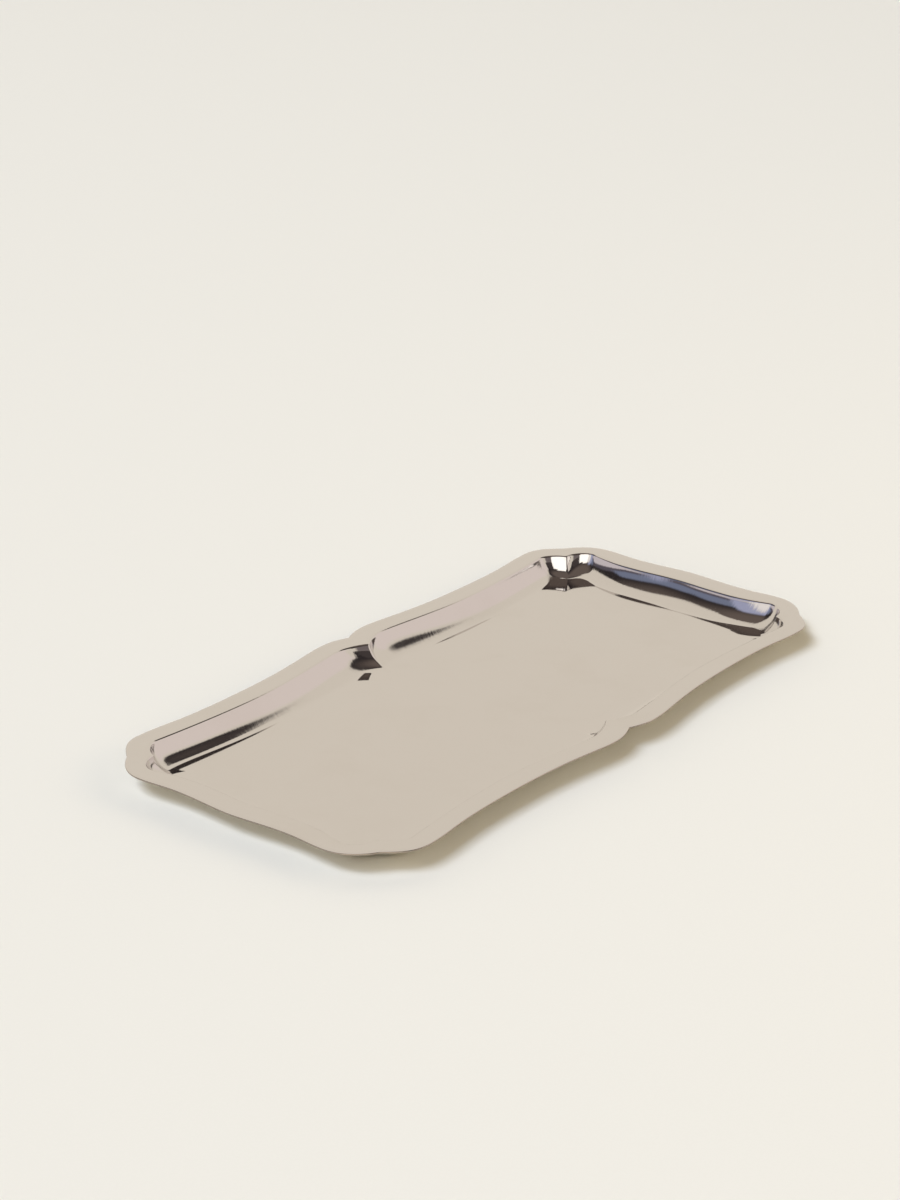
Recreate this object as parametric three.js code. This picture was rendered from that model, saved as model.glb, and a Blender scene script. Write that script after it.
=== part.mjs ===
// A rectangular serving tray, pressed from one sheet of stainless steel: a flat scalloped rim, a
// tight bend at its inner edge, and a cove that sweeps down from there into a flat floor.
// Millimetres. The origin is under the middle of the floor, on the surface that the tray stands
// on. +X runs along the tray, +Y across it and +Z up.

import * as THREE from 'three';

// The section of the pressing, from the edge of the rim inwards.
const SHEET = 0.8; // thickness of the steel
const RIM_WIDTH = 10.8; // flat part of the rim
const BEND_RADIUS = 1.5; // upper face of the bend between the rim and the cove
const BEND_ANGLE = THREE.MathUtils.degToRad(69.5); // slope at which the bend meets the cove
const WELL_DEPTH = 12; // from the top of the rim down to the floor
const COVE_RADIUS = WELL_DEPTH / (1 - Math.cos(BEND_ANGLE)) - BEND_RADIUS; // upper face

// How finely the curves are stepped.
const SPAN_STEPS = [4, 6, 6, 6, 6, 4, 4];
const RIM_STEPS = 1;
const BEND_STEPS = 4;
const COVE_STEPS = 7;

// The plan. All four quarters are alike, so an outline is one quarter, from the middle of a long
// side to the middle of an end. It passes through a cusp and a crest, a long waist, then a crest,
// a cusp and a crest at the corner, and a short waist. Each landmark has its place and the arms
// of its curve: how far it comes in straight, and how far it goes on.
const EDGE_OUTLINE = [
  { at: [0, 94.8], arrive: [0, 0], leave: [4.5, 2.2] },
  { at: [16.5, 98.9], arrive: [6, 0], leave: [18, 0] },
  { at: [103, 92.1], arrive: [56, 0], leave: [42, 0] },
  { at: [164.5, 95.7], arrive: [20, 0], leave: [11, 0] },
  { at: [185.3, 82.6], arrive: [4.8, -5.1], leave: [5.8, -3.85] },
  { at: [199.3, 60], arrive: [0, -11.5], leave: [0, -9] },
  { at: [197.8, 36], arrive: [0, -9], leave: [0, -14] },
  { at: [200, 0], arrive: [0, -10], leave: [0, 0] },
];

// The brink of the well, in the bend. Its cusps are sharper than the edge's.
const BRINK_INSET = 12;
const BRINK_OUTLINE = [
  { at: [0, 79.8], arrive: [0, 0], leave: [3.2, 2.6] },
  { at: [17.4, 86.2], arrive: [6, 0], leave: [12.7, 0] },
  { at: [91.8, 79.6], arrive: [30.7, 0], leave: [32.9, 0] },
  { at: [162.8, 84.2], arrive: [1.5, 0], leave: [6.2, 0] },
  { at: [175.2, 73.5], arrive: [1.5, -4.3], leave: [7.4, -0.1] },
  { at: [188.1, 62.4], arrive: [0, -5], leave: [0, -1] },
  { at: [184, 36.5], arrive: [0, -12], leave: [0, -20.5] },
  { at: [185.6, 0], arrive: [0, -13], leave: [0, 0] },
];

// The foot of the cove, where it has almost run out into the floor.
const FOOT_INSET = 26;
const FOOT_OUTLINE = [
  { at: [0, 68], arrive: [0, 0], leave: [4.6, 3.4] },
  { at: [14.5, 70.9], arrive: [2.4, 0], leave: [7.5, 0] },
  { at: [99.4, 68], arrive: [52.6, 0], leave: [25.6, 0] },
  { at: [163, 72.2], arrive: [15.5, 0], leave: [6.3, 0] },
  { at: [169.1, 67.7], arrive: [3.2, -3.7], leave: [3, -3.5] },
  { at: [173.5, 57.6], arrive: [0, -6.6], leave: [0, -1.5] },
  { at: [169, 30.1], arrive: [0, -9.3], leave: [0, -16.8] },
  { at: [168.9, 0], arrive: [0, -14.6], leave: [0, 0] },
];

const blend = (from, to, share) =>
  new THREE.Vector2(...from).lerp(new THREE.Vector2(...to), share);

// The landmarks of the contour at an inset, part of the way from one given outline to the next.
function landmarks(inset) {
  const onRim = inset < BRINK_INSET;
  const [outer, inner] = onRim ? [EDGE_OUTLINE, BRINK_OUTLINE] : [BRINK_OUTLINE, FOOT_OUTLINE];
  const share = onRim ? inset / BRINK_INSET : (inset - BRINK_INSET) / (FOOT_INSET - BRINK_INSET);
  return outer.map((mark, i) => ({
    at: blend(mark.at, inner[i].at, share),
    arrive: blend(mark.arrive, inner[i].arrive, share),
    leave: blend(mark.leave, inner[i].leave, share),
  }));
}

// One quarter of the contour, from the long side's cusp to the end's middle.
function quarterContour(inset) {
  const marks = landmarks(inset);
  const points = [marks[0].at];
  SPAN_STEPS.forEach((steps, i) => {
    const [from, to] = [marks[i], marks[i + 1]];
    const span = new THREE.CubicBezierCurve(
      from.at,
      from.at.clone().add(from.leave),
      to.at.clone().sub(to.arrive),
      to.at,
    );
    points.push(...span.getPoints(steps).slice(1));
  });
  return points;
}

// The whole contour, clockwise from above, starting at the long side's cusp on +Y.
function contour(inset) {
  const quarter = quarterContour(inset);
  const flip = (x, y) => quarter.map((p) => new THREE.Vector2(p.x * x, p.y * y));
  const quarters = [quarter, flip(1, -1).reverse(), flip(-1, -1), flip(-1, 1).reverse()];
  return quarters.flatMap((part) => part.slice(0, -1));
}

// The section of the upper face, from the edge to the floor, as insets, drops below the rim and
// slopes. The slope rises through the bend and falls again through the cove.
function section() {
  const stations = [];
  for (let i = 0; i < RIM_STEPS; i += 1) {
    stations.push({ inset: (RIM_WIDTH * i) / RIM_STEPS, drop: 0, slope: 0 });
  }
  for (let i = 0; i <= BEND_STEPS; i += 1) {
    const slope = (BEND_ANGLE * i) / BEND_STEPS;
    stations.push({
      inset: RIM_WIDTH + BEND_RADIUS * Math.sin(slope),
      drop: BEND_RADIUS * (1 - Math.cos(slope)),
      slope,
    });
  }
  const floorInset = RIM_WIDTH + (BEND_RADIUS + COVE_RADIUS) * Math.sin(BEND_ANGLE);
  for (let i = 1; i <= COVE_STEPS; i += 1) {
    const slope = BEND_ANGLE * (1 - i / COVE_STEPS);
    stations.push({
      inset: floorInset - COVE_RADIUS * Math.sin(slope),
      drop: WELL_DEPTH - COVE_RADIUS * (1 - Math.cos(slope)),
      slope,
    });
  }
  return stations;
}

// A contour lifted into space, for a station of the section, on the upper or the lower face.
function ring({ inset, drop, slope }, depthInSheet) {
  const height = SHEET + WELL_DEPTH - drop - depthInSheet * Math.cos(slope);
  return contour(inset - depthInSheet * Math.sin(slope)).map(
    (p) => new THREE.Vector3(p.x, p.y, height),
  );
}

// The pressing is one skin: it starts in the middle of the underside, runs out over the lower
// face, turns round the edge of the sheet and comes back in over the upper face.
function pressing() {
  const stations = section();
  const lower = stations.map((station) => ring(station, SHEET)).reverse();
  const upper = stations.map((station) => ring(station, 0));
  const rings = [...lower, ...upper];
  const around = rings[0].length;
  const index = [];
  for (let i = 0; i < rings.length - 1; i += 1) {
    for (let j = 0; j < around; j += 1) {
      const next = (j + 1) % around;
      const [a, b] = [i * around + j, i * around + next];
      const [c, d] = [a + around, b + around];
      index.push(a, d, b, a, c, d);
    }
  }
  const cover = (first, facingUp) => {
    const outline = rings[first / around].map((p) => new THREE.Vector2(p.x, p.y));
    THREE.ShapeUtils.triangulateShape(outline, []).forEach(([a, b, c]) => {
      const face = facingUp ? [a, b, c] : [a, c, b];
      index.push(...face.map((i) => i + first));
    });
  };
  cover(0, false);
  cover((rings.length - 1) * around, true);
  const geometry = new THREE.BufferGeometry().setFromPoints(rings.flat());
  geometry.setIndex(index);
  geometry.computeVertexNormals();
  return geometry;
}

const polishedSteel = new THREE.MeshStandardMaterial({
  color: new THREE.Color().setRGB(0.73, 0.68, 0.63),
  roughness: 0.12,
  metalness: 1,
});

const tray = new THREE.Group();
const traySheet = new THREE.Mesh(pressing(), polishedSteel);
traySheet.name = 'tray_pressing';
tray.add(traySheet);

export default tray;
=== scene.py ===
# %% [markdown]
# # A pressed steel serving tray
#
# The real tray is one sheet of stainless steel. A press cuts its scalloped outline and pushes a
# shallow well into it, so there is nothing to join. What makes it look real is the exact
# roundness of its bends and what the polished metal mirrors. This lesson models the sheet
# finely, polishes it with procedural nodes, and builds the small studio that it reflects.

import math

import bpy
import numpy as np
from mathutils import Matrix, Vector


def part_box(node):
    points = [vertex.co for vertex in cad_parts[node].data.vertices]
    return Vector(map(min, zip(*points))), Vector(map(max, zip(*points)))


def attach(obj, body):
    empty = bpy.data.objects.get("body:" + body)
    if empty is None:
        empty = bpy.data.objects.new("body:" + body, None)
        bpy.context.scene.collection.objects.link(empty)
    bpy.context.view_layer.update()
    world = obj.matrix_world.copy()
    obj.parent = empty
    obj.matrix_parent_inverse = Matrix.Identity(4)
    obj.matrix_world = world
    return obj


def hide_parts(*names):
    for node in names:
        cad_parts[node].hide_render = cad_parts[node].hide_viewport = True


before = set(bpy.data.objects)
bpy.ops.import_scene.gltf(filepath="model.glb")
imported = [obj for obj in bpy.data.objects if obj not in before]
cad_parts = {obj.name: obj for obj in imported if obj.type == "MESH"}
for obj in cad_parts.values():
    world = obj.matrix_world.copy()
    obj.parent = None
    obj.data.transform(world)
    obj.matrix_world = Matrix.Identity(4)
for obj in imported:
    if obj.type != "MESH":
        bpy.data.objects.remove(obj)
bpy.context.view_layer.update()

# %% [markdown]
# ## Sizes
#
# Every size hangs on the tray's length, which the frame gives. The section is the sheet's upper
# face, from the edge of the rim inwards: a flat rim, a tight bend, and one wide cove, which is
# the whole wall and runs out into the floor. Bend and cove meet where the wall is steepest, so
# the cove's radius follows from the depth. A wide thin floor never comes out of the press quite
# flat: this one sinks by half a millimetre inside the foot of the wall. That is too little to see
# by itself, but it shortens the image of the wall in the floor.

# %% Sizes of the pressing, in millimetres
NODE = "tray_pressing"
low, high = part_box(NODE)
DESIGN_LENGTH = 400.0
MM = (high.x - low.x) / DESIGN_LENGTH

SHEET = 0.8
EDGE_RADIUS = 0.3
RIM_WIDTH = 10.8
BEND_RADIUS = 1.5
BEND_ANGLE = math.radians(69.5)
WELL_DEPTH = (high.z - low.z) / MM - SHEET
DISH_DEPTH = 0.5
DISH_WIDTH = 34.0
FOOT_ANGLE = 3 * DISH_DEPTH / DISH_WIDTH
COVE_RADIUS = (WELL_DEPTH - DISH_DEPTH) / (1 - math.cos(BEND_ANGLE)) - BEND_RADIUS
print(f"length {DESIGN_LENGTH * MM:.3f} m, well {WELL_DEPTH:.2f} mm deep in {SHEET} mm sheet")
print(f"cove radius {COVE_RADIUS:.2f} mm")

# %% [markdown]
# ## The outlines
#
# Seen from above, all four quarters are alike, so one quarter is enough, from the middle of a
# long side to the middle of an end. Three outlines describe it: the edge of the rim, the brink
# where the bend turns down, and the foot of the wall. Each landmark is where a crest, a waist or
# a cusp is, with the arms of its Bezier curve, as in a drawing program.

# %% Landmarks: place, arriving arm, leaving arm
EDGE_OUTLINE = [
    [(0, 94.8), (0, 0), (4.5, 2.2)],
    [(16.5, 98.9), (6, 0), (18, 0)],
    [(103, 92.1), (56, 0), (42, 0)],
    [(164.5, 95.7), (20, 0), (11, 0)],
    [(185.3, 82.6), (4.8, -5.1), (5.8, -3.85)],
    [(199.3, 60), (0, -11.5), (0, -9)],
    [(197.8, 36), (0, -9), (0, -14)],
    [(200, 0), (0, -10), (0, 0)],
]
BRINK_INSET = 12.0
BRINK_OUTLINE = [
    [(0, 79.8), (0, 0), (3.2, 2.6)],
    [(17.4, 86.2), (6, 0), (12.7, 0)],
    [(91.8, 79.6), (30.7, 0), (32.9, 0)],
    [(162.8, 84.2), (1.5, 0), (6.2, 0)],
    [(175.2, 73.5), (1.5, -4.3), (7.4, -0.1)],
    [(188.1, 62.4), (0, -5), (0, -1)],
    [(184, 36.5), (0, -12), (0, -20.5)],
    [(185.6, 0), (0, -13), (0, 0)],
]
FOOT_INSET = 26.0
FOOT_OUTLINE = [
    [(0, 68), (0, 0), (4.6, 3.4)],
    [(14.5, 70.9), (2.4, 0), (7.5, 0)],
    [(99.4, 68), (52.6, 0), (25.6, 0)],
    [(163, 72.2), (15.5, 0), (6.3, 0)],
    [(169.1, 67.7), (3.2, -3.7), (3.0, -3.5)],
    [(173.5, 57.6), (0, -6.6), (0, -1.5)],
    [(169, 30.1), (0, -9.3), (0, -16.8)],
    [(168.9, 0), (0, -14.6), (0, 0)],
]
OUTLINES = [
    (0.0, np.array(EDGE_OUTLINE, float)),
    (BRINK_INSET, np.array(BRINK_OUTLINE, float)),
    (FOOT_INSET, np.array(FOOT_OUTLINE, float)),
]
print("landmarks in a quarter:", len(EDGE_OUTLINE))

# %% [markdown]
# ## Contours
#
# A contour is the shape of the tray at one distance in from its edge. Between two outlines it is
# a blend of their landmarks and arms, so the scallops soften on their way down, as pressed metal
# does. The quarter is then mirrored across the two middle planes.

# %% A contour at any inset
SPAN_STEPS = [12, 18, 20, 18, 16, 12, 12]


def landmarks(inset):
    """The landmarks of the contour at an inset, blended between the outlines on either side."""
    pair = OUTLINES[:2] if inset < BRINK_INSET else OUTLINES[1:]
    (start, outer), (end, inner) = pair
    return outer + (inner - outer) * (inset - start) / (end - start)


def span(start, leave, arrive, end, steps):
    """Points along one cubic Bezier curve, without its end."""
    t = np.arange(steps)[:, None] / steps
    first, last = start + leave, end - arrive
    near_start = (1 - t) ** 3 * start + 3 * (1 - t) ** 2 * t * first
    near_end = 3 * (1 - t) * t**2 * last + t**3 * end
    return near_start + near_end


def contour(inset):
    """The closed contour at an inset, clockwise from above, as x and y."""
    marks = landmarks(inset)
    spans = [
        span(a[0], a[2], b[1], b[0], steps)
        for a, b, steps in zip(marks[:-1], marks[1:], SPAN_STEPS)
    ]
    quarter = np.concatenate(spans + [marks[-1:, 0]])
    mirrored = quarter * (1, -1)
    return np.concatenate([quarter[:-1], mirrored[:0:-1], -quarter[:-1], -mirrored[:0:-1]])


print("points round the tray:", len(contour(0)))

# %% [markdown]
# ## The section
#
# The section is a walk over the whole skin of the sheet: out along the underside, round the
# sheared edge, and back in over the upper face. The underside stands off from the upper face
# along its slope, which keeps the sheet's thickness round the bends. A blanked edge is never
# quite square, so it gets a small radius, which catches a thin line of light.

# %% Stations of the section
RIM_STEPS = 4
BEND_STEPS = 10
COVE_STEPS = 30
EDGE_STEPS = 4


def upper_face():
    """The upper face as (inset, depth, slope), from just inside the edge to the wall's foot."""
    rim = [(inset, 0.0, 0.0) for inset in np.linspace(EDGE_RADIUS, RIM_WIDTH, RIM_STEPS + 1)]
    bend = [
        (RIM_WIDTH + BEND_RADIUS * math.sin(s), BEND_RADIUS * (1 - math.cos(s)), s)
        for s in np.linspace(0, BEND_ANGLE, BEND_STEPS + 1)[1:]
    ]
    foot = RIM_WIDTH + (BEND_RADIUS + COVE_RADIUS) * math.sin(BEND_ANGLE)
    foot_depth = WELL_DEPTH - DISH_DEPTH
    cove = [
        (foot - COVE_RADIUS * math.sin(s), foot_depth - COVE_RADIUS * (1 - math.cos(s)), s)
        for s in np.linspace(BEND_ANGLE, FOOT_ANGLE, COVE_STEPS + 1)[1:]
    ]
    return rim + bend + cove


def skin():
    """The whole skin as (inset, height), from the underside's foot round to the upper foot."""
    top = SHEET + WELL_DEPTH
    upper = [(inset, top - depth) for inset, depth, slope in upper_face()]
    lower = [
        (inset - SHEET * math.sin(slope), top - depth - SHEET * math.cos(slope))
        for inset, depth, slope in upper_face()
    ]
    edge = [
        (EDGE_RADIUS * (1 - math.sin(a)), top - SHEET + EDGE_RADIUS * (1 - math.cos(a)))
        for a in np.linspace(0, math.pi / 2, EDGE_STEPS)[1:]
    ]
    edge += [(inset, 2 * top - SHEET - height) for inset, height in reversed(edge)]
    return lower[::-1] + edge + upper


print("rings over the skin:", len(skin()))

# %% [markdown]
# ## Rings
#
# Each station of the section becomes a ring of points at its height. Inside the foot of the wall
# the floor goes on as smaller copies of the foot, which sink along a smooth curve and end level,
# so that the flat middle joins on without a crease.

# %% All rings of the sheet
DISH_STEPS = np.array([0.7, 1.6, 3, 5, 8, 12, 17, 22, 28, DISH_WIDTH])


def level(outline, height):
    """An outline as points at one height."""
    return np.column_stack([outline, np.full(len(outline), height)])


def dish_rings(foot, height):
    """Smaller copies of the wall's foot, each a step further in and a little lower."""
    reach = np.abs(foot).max(axis=0)
    drops = DISH_DEPTH * (1 - (1 - DISH_STEPS / DISH_WIDTH) ** 3)
    return [
        level(foot * (1 - step / reach), height - drop) for step, drop in zip(DISH_STEPS, drops)
    ]


def all_rings():
    """Every ring, from inside the underside, round the edge, to inside the floor."""
    stations = skin()
    rings = [level(contour(inset), height) for inset, height in stations]
    under = dish_rings(rings[0][:, :2], stations[0][1])
    inside = dish_rings(rings[-1][:, :2], stations[-1][1])
    return np.array(under[::-1] + rings + inside)


rings = all_rings()
print("rings in all:", len(rings))

# %% [markdown]
# ## A map of the sheet
#
# A press leaves its marks along and across the wall, so the finish has to know where on the sheet
# it is. That is what a UV map is for. Here u runs round the tray and v over the section, both in
# metres, with v = 0 at the edge, positive over the upper face and negative under it.

# %% u and v of every ring and corner
def sheet_map(rings):
    """u round the tray, with one more value where the ring closes, and v of every ring."""
    edge_ring = int(np.argmax(rings[:, 0, 1]))
    around = np.linalg.norm(np.roll(rings[edge_ring], -1, axis=0) - rings[edge_ring], axis=1)
    u = np.concatenate([[0], np.cumsum(around)])
    across = np.linalg.norm(np.diff(rings, axis=0), axis=2).mean(axis=1)
    v = np.concatenate([[0], np.cumsum(across)])
    return u * MM, (v - v[edge_ring]) * MM


def map_corners(u, v):
    """u and v at every corner of every face: the strips between rings, then the two caps."""
    around = len(u) - 1
    strip_u = np.column_stack([u[:-1], u[:-1], u[1:], u[1:]])
    strips = [
        np.stack([strip_u, np.tile([outer, inner, inner, outer], (around, 1))], axis=2)
        for outer, inner in zip(v[:-1], v[1:])
    ]
    under_cap = np.column_stack([u[:-1], np.full(around, v[0])])
    floor_cap = np.column_stack([u[:-1][::-1], np.full(around, v[-1])])
    return np.concatenate([np.concatenate(strips).reshape(-1, 2), under_cap, floor_cap])


u, v = sheet_map(rings)
print(f"round the edge {u[-1]:.3f} m, over the upper face {v[-1]:.3f} m")

# %% [markdown]
# ## The mesh
#
# Neighbouring rings are joined by quads, and one flat face closes the sheet at each end of the
# walk. All faces turn the same way, outwards, so the sheet is a closed solid that could be
# printed or cut as it is.

# %% Build the sheet
def sheet_faces(count, around):
    """The quads between neighbouring rings, then the cap under the tray and the one in it."""
    near = np.arange(around)
    far = (near + 1) % around
    strips = [
        np.column_stack([i + near, i + around + near, i + around + far, i + far])
        for i in range(0, (count - 1) * around, around)
    ]
    last = (count - 1) * around
    return np.concatenate(strips).tolist() + [near.tolist(), (near + last)[::-1].tolist()]


tray_data = bpy.data.meshes.new("tray_sheet")
points = rings.reshape(-1, 3) * MM + np.array([0, 0, low.z])
tray_data.from_pydata(points.tolist(), [], sheet_faces(*rings.shape[:2]))
tray_data.polygons.foreach_set("use_smooth", [True] * len(tray_data.polygons))
tray_data.uv_layers.new(name="sheet").data.foreach_set("uv", map_corners(u, v).ravel())
tray_data.update()
tray = bpy.data.objects.new("tray_sheet", tray_data)
bpy.context.scene.collection.objects.link(tray)
print("faces in the sheet:", len(tray_data.polygons))

# %% [markdown]
# ## Shader maths as plain Python
#
# A node tree is a formula drawn with wires. Written as a formula it is easier to read, so one
# small class holds a socket and lets it be added, subtracted and multiplied.

# %% A socket with arithmetic
class Field:
    """A value that varies over a surface or over the sky: one output socket of a node tree."""

    def __init__(self, tree, socket):
        self.tree = tree
        self.socket = socket

    def math(self, operation, *others):
        node = self.tree.nodes.new("ShaderNodeMath")
        node.operation = operation
        for socket, value in zip(node.inputs, (self, *others)):
            feed(self.tree, socket, value)
        return Field(self.tree, node.outputs[0])

    def __add__(self, other):
        return self.math("ADD", other)

    def __mul__(self, other):
        return self.math("MULTIPLY", other)

    def __sub__(self, other):
        return self.math("SUBTRACT", other)

    def __rsub__(self, other):
        return (self * -1.0) + other

    __radd__ = __add__
    __rmul__ = __mul__

    def clear_of(self, start, end):
        """0 up to start, 1 from end on, and a smooth step between them."""
        return add_node(
            self.tree, "ShaderNodeMapRange", {"interpolation_type": "SMOOTHSTEP"}, "Result",
            Value=self, From_Min=start, From_Max=end,
        )

    def between(self, start, end, soft):
        """1 between start and end and 0 outside, with edges as wide as soft."""
        return self.clear_of(start - soft / 2, start + soft / 2) * (
            1 - self.clear_of(end - soft / 2, end + soft / 2)
        )


def feed(tree, socket, value):
    """Links a field to a socket, or sets the socket to a number, a colour or a vector."""
    if isinstance(value, Field):
        tree.links.new(value.socket, socket)
    else:
        socket.default_value = value


print("reflected operators:", [name for name in vars(Field) if name.startswith("__r")])

# %% [markdown]
# ## Any other node
#
# Every other node comes from one helper, which takes the node's type, its settings, the output
# that is wanted, and its inputs by name. Two inputs with the same name, as on Vector Math, are
# called first and second. Noise, stretched coordinates and colour mixes are used often enough to
# have short names.

# %% Helpers for nodes
PLACES = ("first", "second")


def add_node(tree, kind, settings=None, out=0, **inputs):
    """Adds a node: its settings first, then its inputs by name, with _ for a space."""
    node = tree.nodes.new(kind)
    for name, value in (settings or {}).items():
        setattr(node, name, value)
    for name, value in inputs.items():
        if name in PLACES:
            feed(tree, node.inputs[PLACES.index(name)], value)
        else:
            wanted = name.replace("_", " ")
            feed(tree, next(s for s in node.inputs if s.name == wanted and s.enabled), value)
    return Field(tree, node.outputs[out])


def noise(place, **inputs):
    """Cloudy noise from 0 to 1 over a place."""
    return add_node(place.tree, "ShaderNodeTexNoise", None, "Fac", Vector=place, **inputs)


def stretched(place, scales):
    """A place scaled by its own amount along each axis, which draws noise out into lines."""
    return add_node(
        place.tree, "ShaderNodeVectorMath", {"operation": "MULTIPLY"}, "Vector",
        first=place, second=scales,
    )


def mix_colours(tree, factor, first, second):
    """The first colour where factor is 0 and the second where it is 1."""
    return add_node(
        tree, "ShaderNodeMix", {"data_type": "RGBA"}, 2, Factor=factor, A=first, B=second
    )


print("helpers:", [helper.__name__ for helper in (add_node, noise, stretched, mix_colours)])

# %% [markdown]
# ## Places on the steel
#
# One finish covers the whole sheet, but not evenly: the wall was drawn by the die, the underside
# was never polished as far, and the edge was cut. The map of the sheet says which is which, so
# each becomes a mask that is 1 there and 0 elsewhere.

# %% Masks from the map of the sheet, in metres
WALL_FROM, WALL_TO, WALL_SOFT = 0.0115, 0.030, 0.003
CUT_FROM, CUT_TO, CUT_SOFT = -0.0006, 0.0005, 0.0002
UNDER_FROM = -0.001

steel = bpy.data.materials.new("polished_steel")
steel.use_nodes = True
steel_tree = steel.node_tree
place = add_node(steel_tree, "ShaderNodeTexCoord", None, "Object")
on_sheet = add_node(steel_tree, "ShaderNodeUVMap", {"uv_map": "sheet"}, "UV")
from_edge = add_node(steel_tree, "ShaderNodeSeparateXYZ", None, "Y", Vector=on_sheet)
wall = from_edge.between(WALL_FROM, WALL_TO, WALL_SOFT)
under = 1 - from_edge.clear_of(UNDER_FROM, 0.0)
# The cut edge's mask carries both its rougher finish and its painted shade.
cut_edge_and_painted_shade = from_edge.between(CUT_FROM, CUT_TO, CUT_SOFT)
print("nodes in the masks:", len(steel_tree.nodes))

# %% [markdown]
# ## Marks of the press and of use
#
# The die drags over the wall as it draws the well, which leaves fine streaks down the slope. Use
# adds wiped smudges, a faint haze, and hair scratches that run one way. Each is a noise, and a
# smooth step keeps only the peaks of the smudges and scratches. Streaks and scratches are noise
# on stretched coordinates: many changes across them and few along them.

# %% Streaks, smudges, haze and scratches
STREAK_SCALES = (900.0, 40.0, 0.0)
SCRATCH_SCALES = (24.0, 2600.0, 24.0)

streak = noise(stretched(on_sheet, STREAK_SCALES), Scale=1.0, Detail=3.0)
smudge = noise(place, Scale=22.0, Detail=4.0, Roughness=0.6).clear_of(0.45, 0.75)
haze = noise(place, Scale=900.0, Detail=2.0)
combed = noise(stretched(place, SCRATCH_SCALES), Scale=1.0, Detail=1.0)
scratch = combed.clear_of(0.70, 0.78)
print("nodes with the marks:", len(steel_tree.nodes))

# %% [markdown]
# ## The steel's finish
#
# Stainless steel is a metal, so its colour is the tint of its reflection: a little darker and
# warmer than what it mirrors. None of the marks is seen by itself. They only soften the
# reflection here and there, so they go into the roughness, faintly into the tint, and as a very
# shallow bump on the wall. The cut edge is rougher than the faces, and its dark brown tint is
# painted shade: it stands in for the brown shadow that the edge mirrors.

# %% Polished steel
STEEL_TINT = (0.712, 0.688, 0.679, 1)
STEEL_SHADE = (0.694, 0.667, 0.652, 1)
# Painted shade: the cut edge's dark brown stands in for the shadow that the edge mirrors.
EDGE_PAINTED_SHADE = (0.42, 0.36, 0.30, 1)
MIRROR_ROUGHNESS = 0.035
STREAK_DEPTH = 0.00005

shader = steel_tree.nodes["Principled BSDF"]
shader.inputs["Metallic"].default_value = 1.0
marks = smudge * 0.02 + haze * 0.01 + scratch * 0.05
roughness = MIRROR_ROUGHNESS + marks + wall * (0.02 + streak * 0.05) + under * 0.16 + cut_edge_and_painted_shade * 0.2
feed(steel_tree, shader.inputs["Roughness"], roughness)
shade = smudge * 0.7 + wall * streak * 0.6
tint = mix_colours(steel_tree, shade, STEEL_TINT, STEEL_SHADE)
# On the cut edge the tint turns to painted shade, dark brown like the shadow that the edge
# mirrors.
feed(steel_tree, shader.inputs["Base Color"], mix_colours(steel_tree, cut_edge_and_painted_shade, tint, EDGE_PAINTED_SHADE))
drawn = add_node(
    steel_tree, "ShaderNodeBump", None, "Normal",
    Strength=0.6, Distance=STREAK_DEPTH, Height=streak * wall,
)
feed(steel_tree, shader.inputs["Normal"], drawn)
tray_data.materials.append(steel)
print("nodes in the steel:", len(steel_tree.nodes))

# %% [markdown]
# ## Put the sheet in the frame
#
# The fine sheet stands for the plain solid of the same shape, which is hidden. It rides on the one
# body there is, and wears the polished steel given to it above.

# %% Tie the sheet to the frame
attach(tray, "root")
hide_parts(NODE)
print(tray.name, "stands for", NODE)

# %% [markdown]
# ## The floor
#
# The tray stands on a wide sheet of pale paper. Paper is matt and a little warm, with fibres that
# vary its tone by a hair, and it goes on far enough that no edge comes into view. It lies a tenth
# of a millimetre under the tray, so that the two faces don't fight for the same place.

# %% Pale paper
FLOOR_SIZE = 16.0
FLOOR_GAP = 0.0001
PAPER_DARK = (0.87, 0.832, 0.69, 1)
PAPER_LIGHT = (0.89, 0.852, 0.71, 1)


def pale_paper():
    material = bpy.data.materials.new("pale_paper")
    material.use_nodes = True
    tree = material.node_tree
    shader = tree.nodes["Principled BSDF"]
    fibre = noise(add_node(tree, "ShaderNodeTexCoord", None, "Object"), Scale=700.0, Detail=3.0)
    feed(tree, shader.inputs["Base Color"], mix_colours(tree, fibre, PAPER_DARK, PAPER_LIGHT))
    shader.inputs["Roughness"].default_value = 0.9
    shader.inputs["Specular IOR Level"].default_value = 0.1
    return material


half = FLOOR_SIZE / 2
floor_data = bpy.data.meshes.new("floor")
floor_data.from_pydata(
    [(-half, -half, 0), (half, -half, 0), (half, half, 0), (-half, half, 0)], [], [(0, 1, 2, 3)]
)
floor_data.materials.append(pale_paper())
floor = bpy.data.objects.new("floor", floor_data)
floor.location.z = low.z - FLOOR_GAP
bpy.context.scene.collection.objects.link(floor)
print("floor", tuple(round(side, 2) for side in floor.dimensions))

# %% [markdown]
# ## The camera
#
# A long lens a metre and a half away keeps the tray's sides nearly parallel. The camera looks
# down at 22 degrees and past the tray's far corner, so that the tray sits low in the picture.
# Three directions set it up, and the studio uses them again: back towards the camera, to its
# right, and away from it along the floor.

# %% Camera
AZIMUTH = math.radians(-51.45)
ELEVATION = math.radians(22.23)
DISTANCE = 1.5225
LOOK_AT = Vector((0.0781, 0.0851, high.z))
LENS = 79.59

UP = Vector((0, 0, 1))
right = Vector((math.cos(AZIMUTH), math.sin(AZIMUTH), 0))
away = UP.cross(right)
back = UP * math.sin(ELEVATION) - away * math.cos(ELEVATION)

turn = Matrix((right, back.cross(right), back)).transposed().to_4x4()
camera = bpy.data.objects.new("camera", bpy.data.cameras.new("camera"))
camera.data.lens = LENS
camera.data.clip_start = 0.01
camera.data.clip_end = 100
camera.matrix_world = Matrix.Translation(LOOK_AT + back * DISTANCE) @ turn
bpy.context.scene.collection.objects.link(camera)
bpy.context.scene.camera = camera
print("camera at", tuple(round(c, 3) for c in camera.matrix_world.translation))

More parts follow.
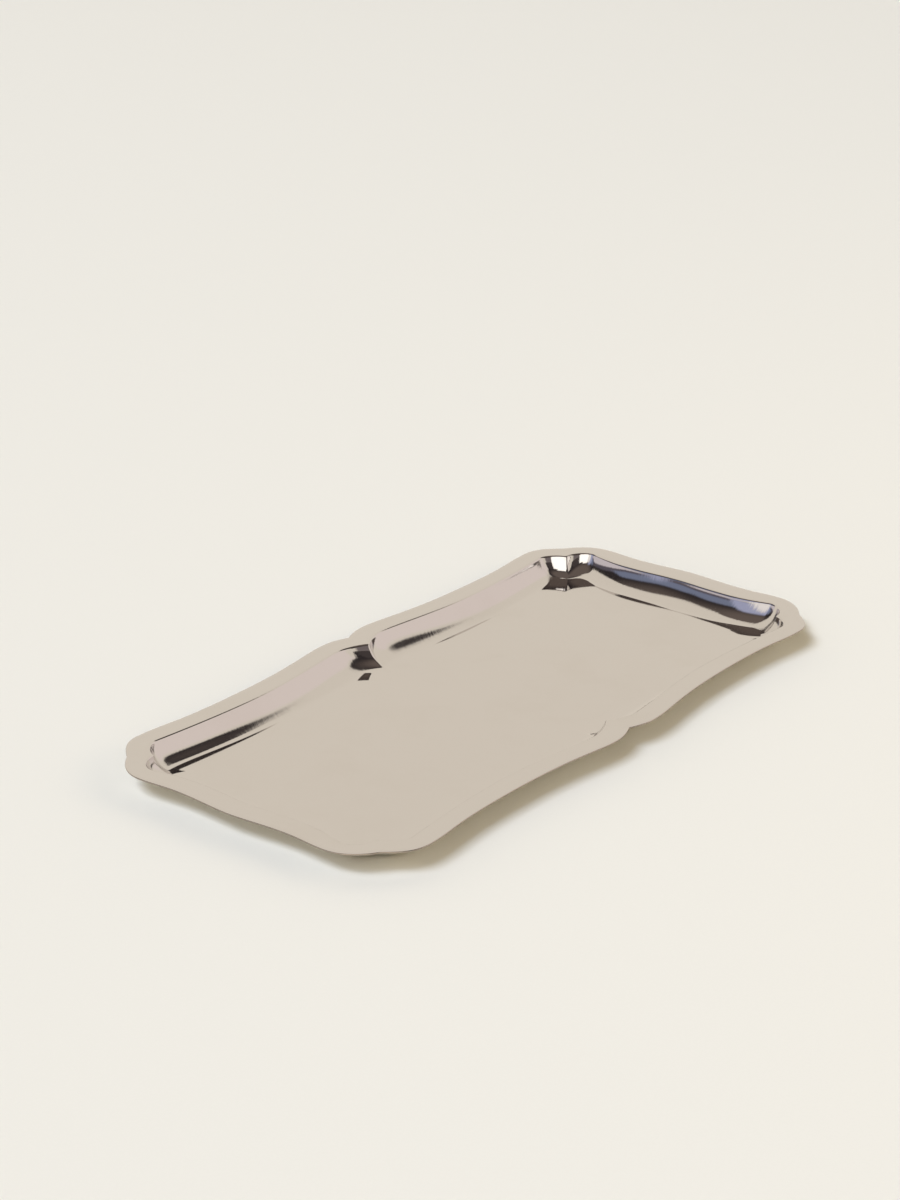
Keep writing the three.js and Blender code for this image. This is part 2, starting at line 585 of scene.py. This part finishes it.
# %% [markdown]
# ## The room in the mirror
#
# A mirror shows its surroundings, so the lighting of polished metal is mostly what stands round
# it. The sky is painted as that room: a cream wall all round, up to a horizon that rises and
# falls, a dark ceiling with lamps in its middle, and cards at the sides. A dark band in the wall
# of the tray is the ceiling, and a bright one is a card. Directions are degrees: an azimuth from
# straight ahead of the camera and round to the right, and an elevation.

# %% The room's paints
CREAM = (0.824, 0.752, 0.644, 1)
CEILING = (0.035, 0.028, 0.028, 1)
CEILING_LAMPS = (0.154, 0.121, 0.103, 1)
LAMPS_FROM, LAMPS_FULL = 46, 70
HORIZON = [
    (-180, 20), (-72, 20), (-66, 38), (-60, 50), (-52, 58), (-42, 61), (-30, 65), (-16, 65),
    (0, 57), (18, 46.5), (32, 48.5), (44, 47), (54, 45.8), (66, 46.3), (76, 46.5), (96, 43),
    (105, 41), (112, 34), (118, 20), (180, 20),
]
CARDS = [
    # azimuth from and to, elevation from and to, width of the soft edge, colour
    (50, 104, -20, 41, 5, (0.865, 0.762, 0.70, 1)),
    (125, 159, -20, 20, 5, (0.196, 0.163, 0.161, 1)),
    (121, 159, 20, 48, 5, (0.068, 0.055, 0.052, 1)),
    (-126, -74, -20, 22, 4, (0.70, 0.634, 0.653, 1)),
    (-124, -74, 22, 32, 5, (0.113, 0.099, 0.12, 1)),
    (-124, -88, 28, 46, 7, (0.206, 0.233, 0.331, 1)),
    (-134, -113, 20, 56, 9, (0.433, 0.455, 0.626, 1)),
    (-154, -132, 16, 50, 6, (1.03, 0.98, 0.94, 1)),
    (-186, -150, 4, 54, 4, (1.65, 1.58, 1.47, 1)),
    (158, 186, 4, 47, 4, (1.65, 1.58, 1.47, 1)),
]
print("cards in the room:", len(CARDS))

# %% [markdown]
# ## Painting the sky
#
# The world's shader gets the direction of every ray. Its share along the camera's three
# directions gives the azimuth and the elevation. The horizon is a sum of ramps, one for each
# stretch of its line, and every card is laid over the colour before it.

# %% The world's shader
def share_along(direction, axis):
    """How much of a direction lies along an axis, from -1 to 1."""
    return add_node(
        direction.tree, "ShaderNodeVectorMath", {"operation": "DOT_PRODUCT"}, "Value",
        first=direction, second=axis,
    )


def horizon_over(azimuth):
    """The elevation of the horizon at an azimuth."""
    line = HORIZON[0][1]
    for (start, low_end), (end, high_end) in zip(HORIZON[:-1], HORIZON[1:]):
        if low_end != high_end:
            line = line + add_node(
                azimuth.tree, "ShaderNodeMapRange", None, "Result",
                Value=azimuth, From_Min=start, From_Max=end, To_Min=0.0, To_Max=high_end - low_end,
            )
    return line


world = bpy.data.worlds.new("studio")
world.use_nodes = True
sky = world.node_tree
ray = add_node(sky, "ShaderNodeTexCoord", None, "Generated")
azimuth = share_along(ray, right).math("ARCTAN2", share_along(ray, away)) * math.degrees(1)
elevation = share_along(ray, UP).math("ARCSINE") * math.degrees(1)
overhead = mix_colours(sky, elevation.clear_of(LAMPS_FROM, LAMPS_FULL), CEILING, CEILING_LAMPS)
over_horizon = (elevation - horizon_over(azimuth)).clear_of(-1, 1)
colour = mix_colours(sky, over_horizon, CREAM, overhead)
for start, end, bottom, top, soft, paint in CARDS:
    patch = azimuth.between(start, end, soft) * elevation.between(bottom, top, soft)
    colour = mix_colours(sky, patch, colour, paint)
feed(sky, sky.nodes["Background"].inputs["Color"], colour)
bpy.context.scene.world = world
print("nodes in the sky:", len(sky.nodes))

# %% [markdown]
# ## The lamps
#
# The shadow comes from one softbox, behind the camera and to its left. It is very large and far
# away, so its shadow is soft and the paper is lit evenly, from the front to the back. Its light
# is cool, and the room's is warm, so the shadow is warmer than the lit paper. A small warm fill
# on the right lifts the paper there. Neither shows in the metal, because the cards already stand
# for what it mirrors.

# %% Softboxes
def softbox(name, azimuth, elevation, distance, size, watts, colour):
    """An area lamp that faces the tray from a direction in degrees."""
    light = bpy.data.lights.new(name, "AREA")
    light.shape = "RECTANGLE"
    light.size, light.size_y = size
    light.energy = watts
    light.color = colour
    a, e = math.radians(azimuth), math.radians(elevation)
    level_part = (away * math.cos(a) + right * math.sin(a)) * math.cos(e)
    towards = level_part + UP * math.sin(e)
    lamp = bpy.data.objects.new(name, light)
    lamp.location = towards * distance
    lamp.rotation_euler = towards.to_track_quat("Z", "Y").to_euler()
    lamp.visible_glossy = False
    bpy.context.scene.collection.objects.link(lamp)
    return lamp


lamps = [
    softbox("key_softbox", -130, 54, 30.0, (17.0, 10.0), 7750, (0.675, 0.765, 1.0)),
    softbox("warm_fill", 100, 28, 1.6, (1.0, 0.4), 2.2, (1, 0.78, 0.45)),
]
bpy.context.scene.view_settings.view_transform = "Standard"
print("lamps:", [lamp.name for lamp in lamps])

# %% [markdown]
# ## Finish
#
# Both boxes are kept, the frame's own and the finished model's. The fine sheet is no bigger than
# the solid it stands for.
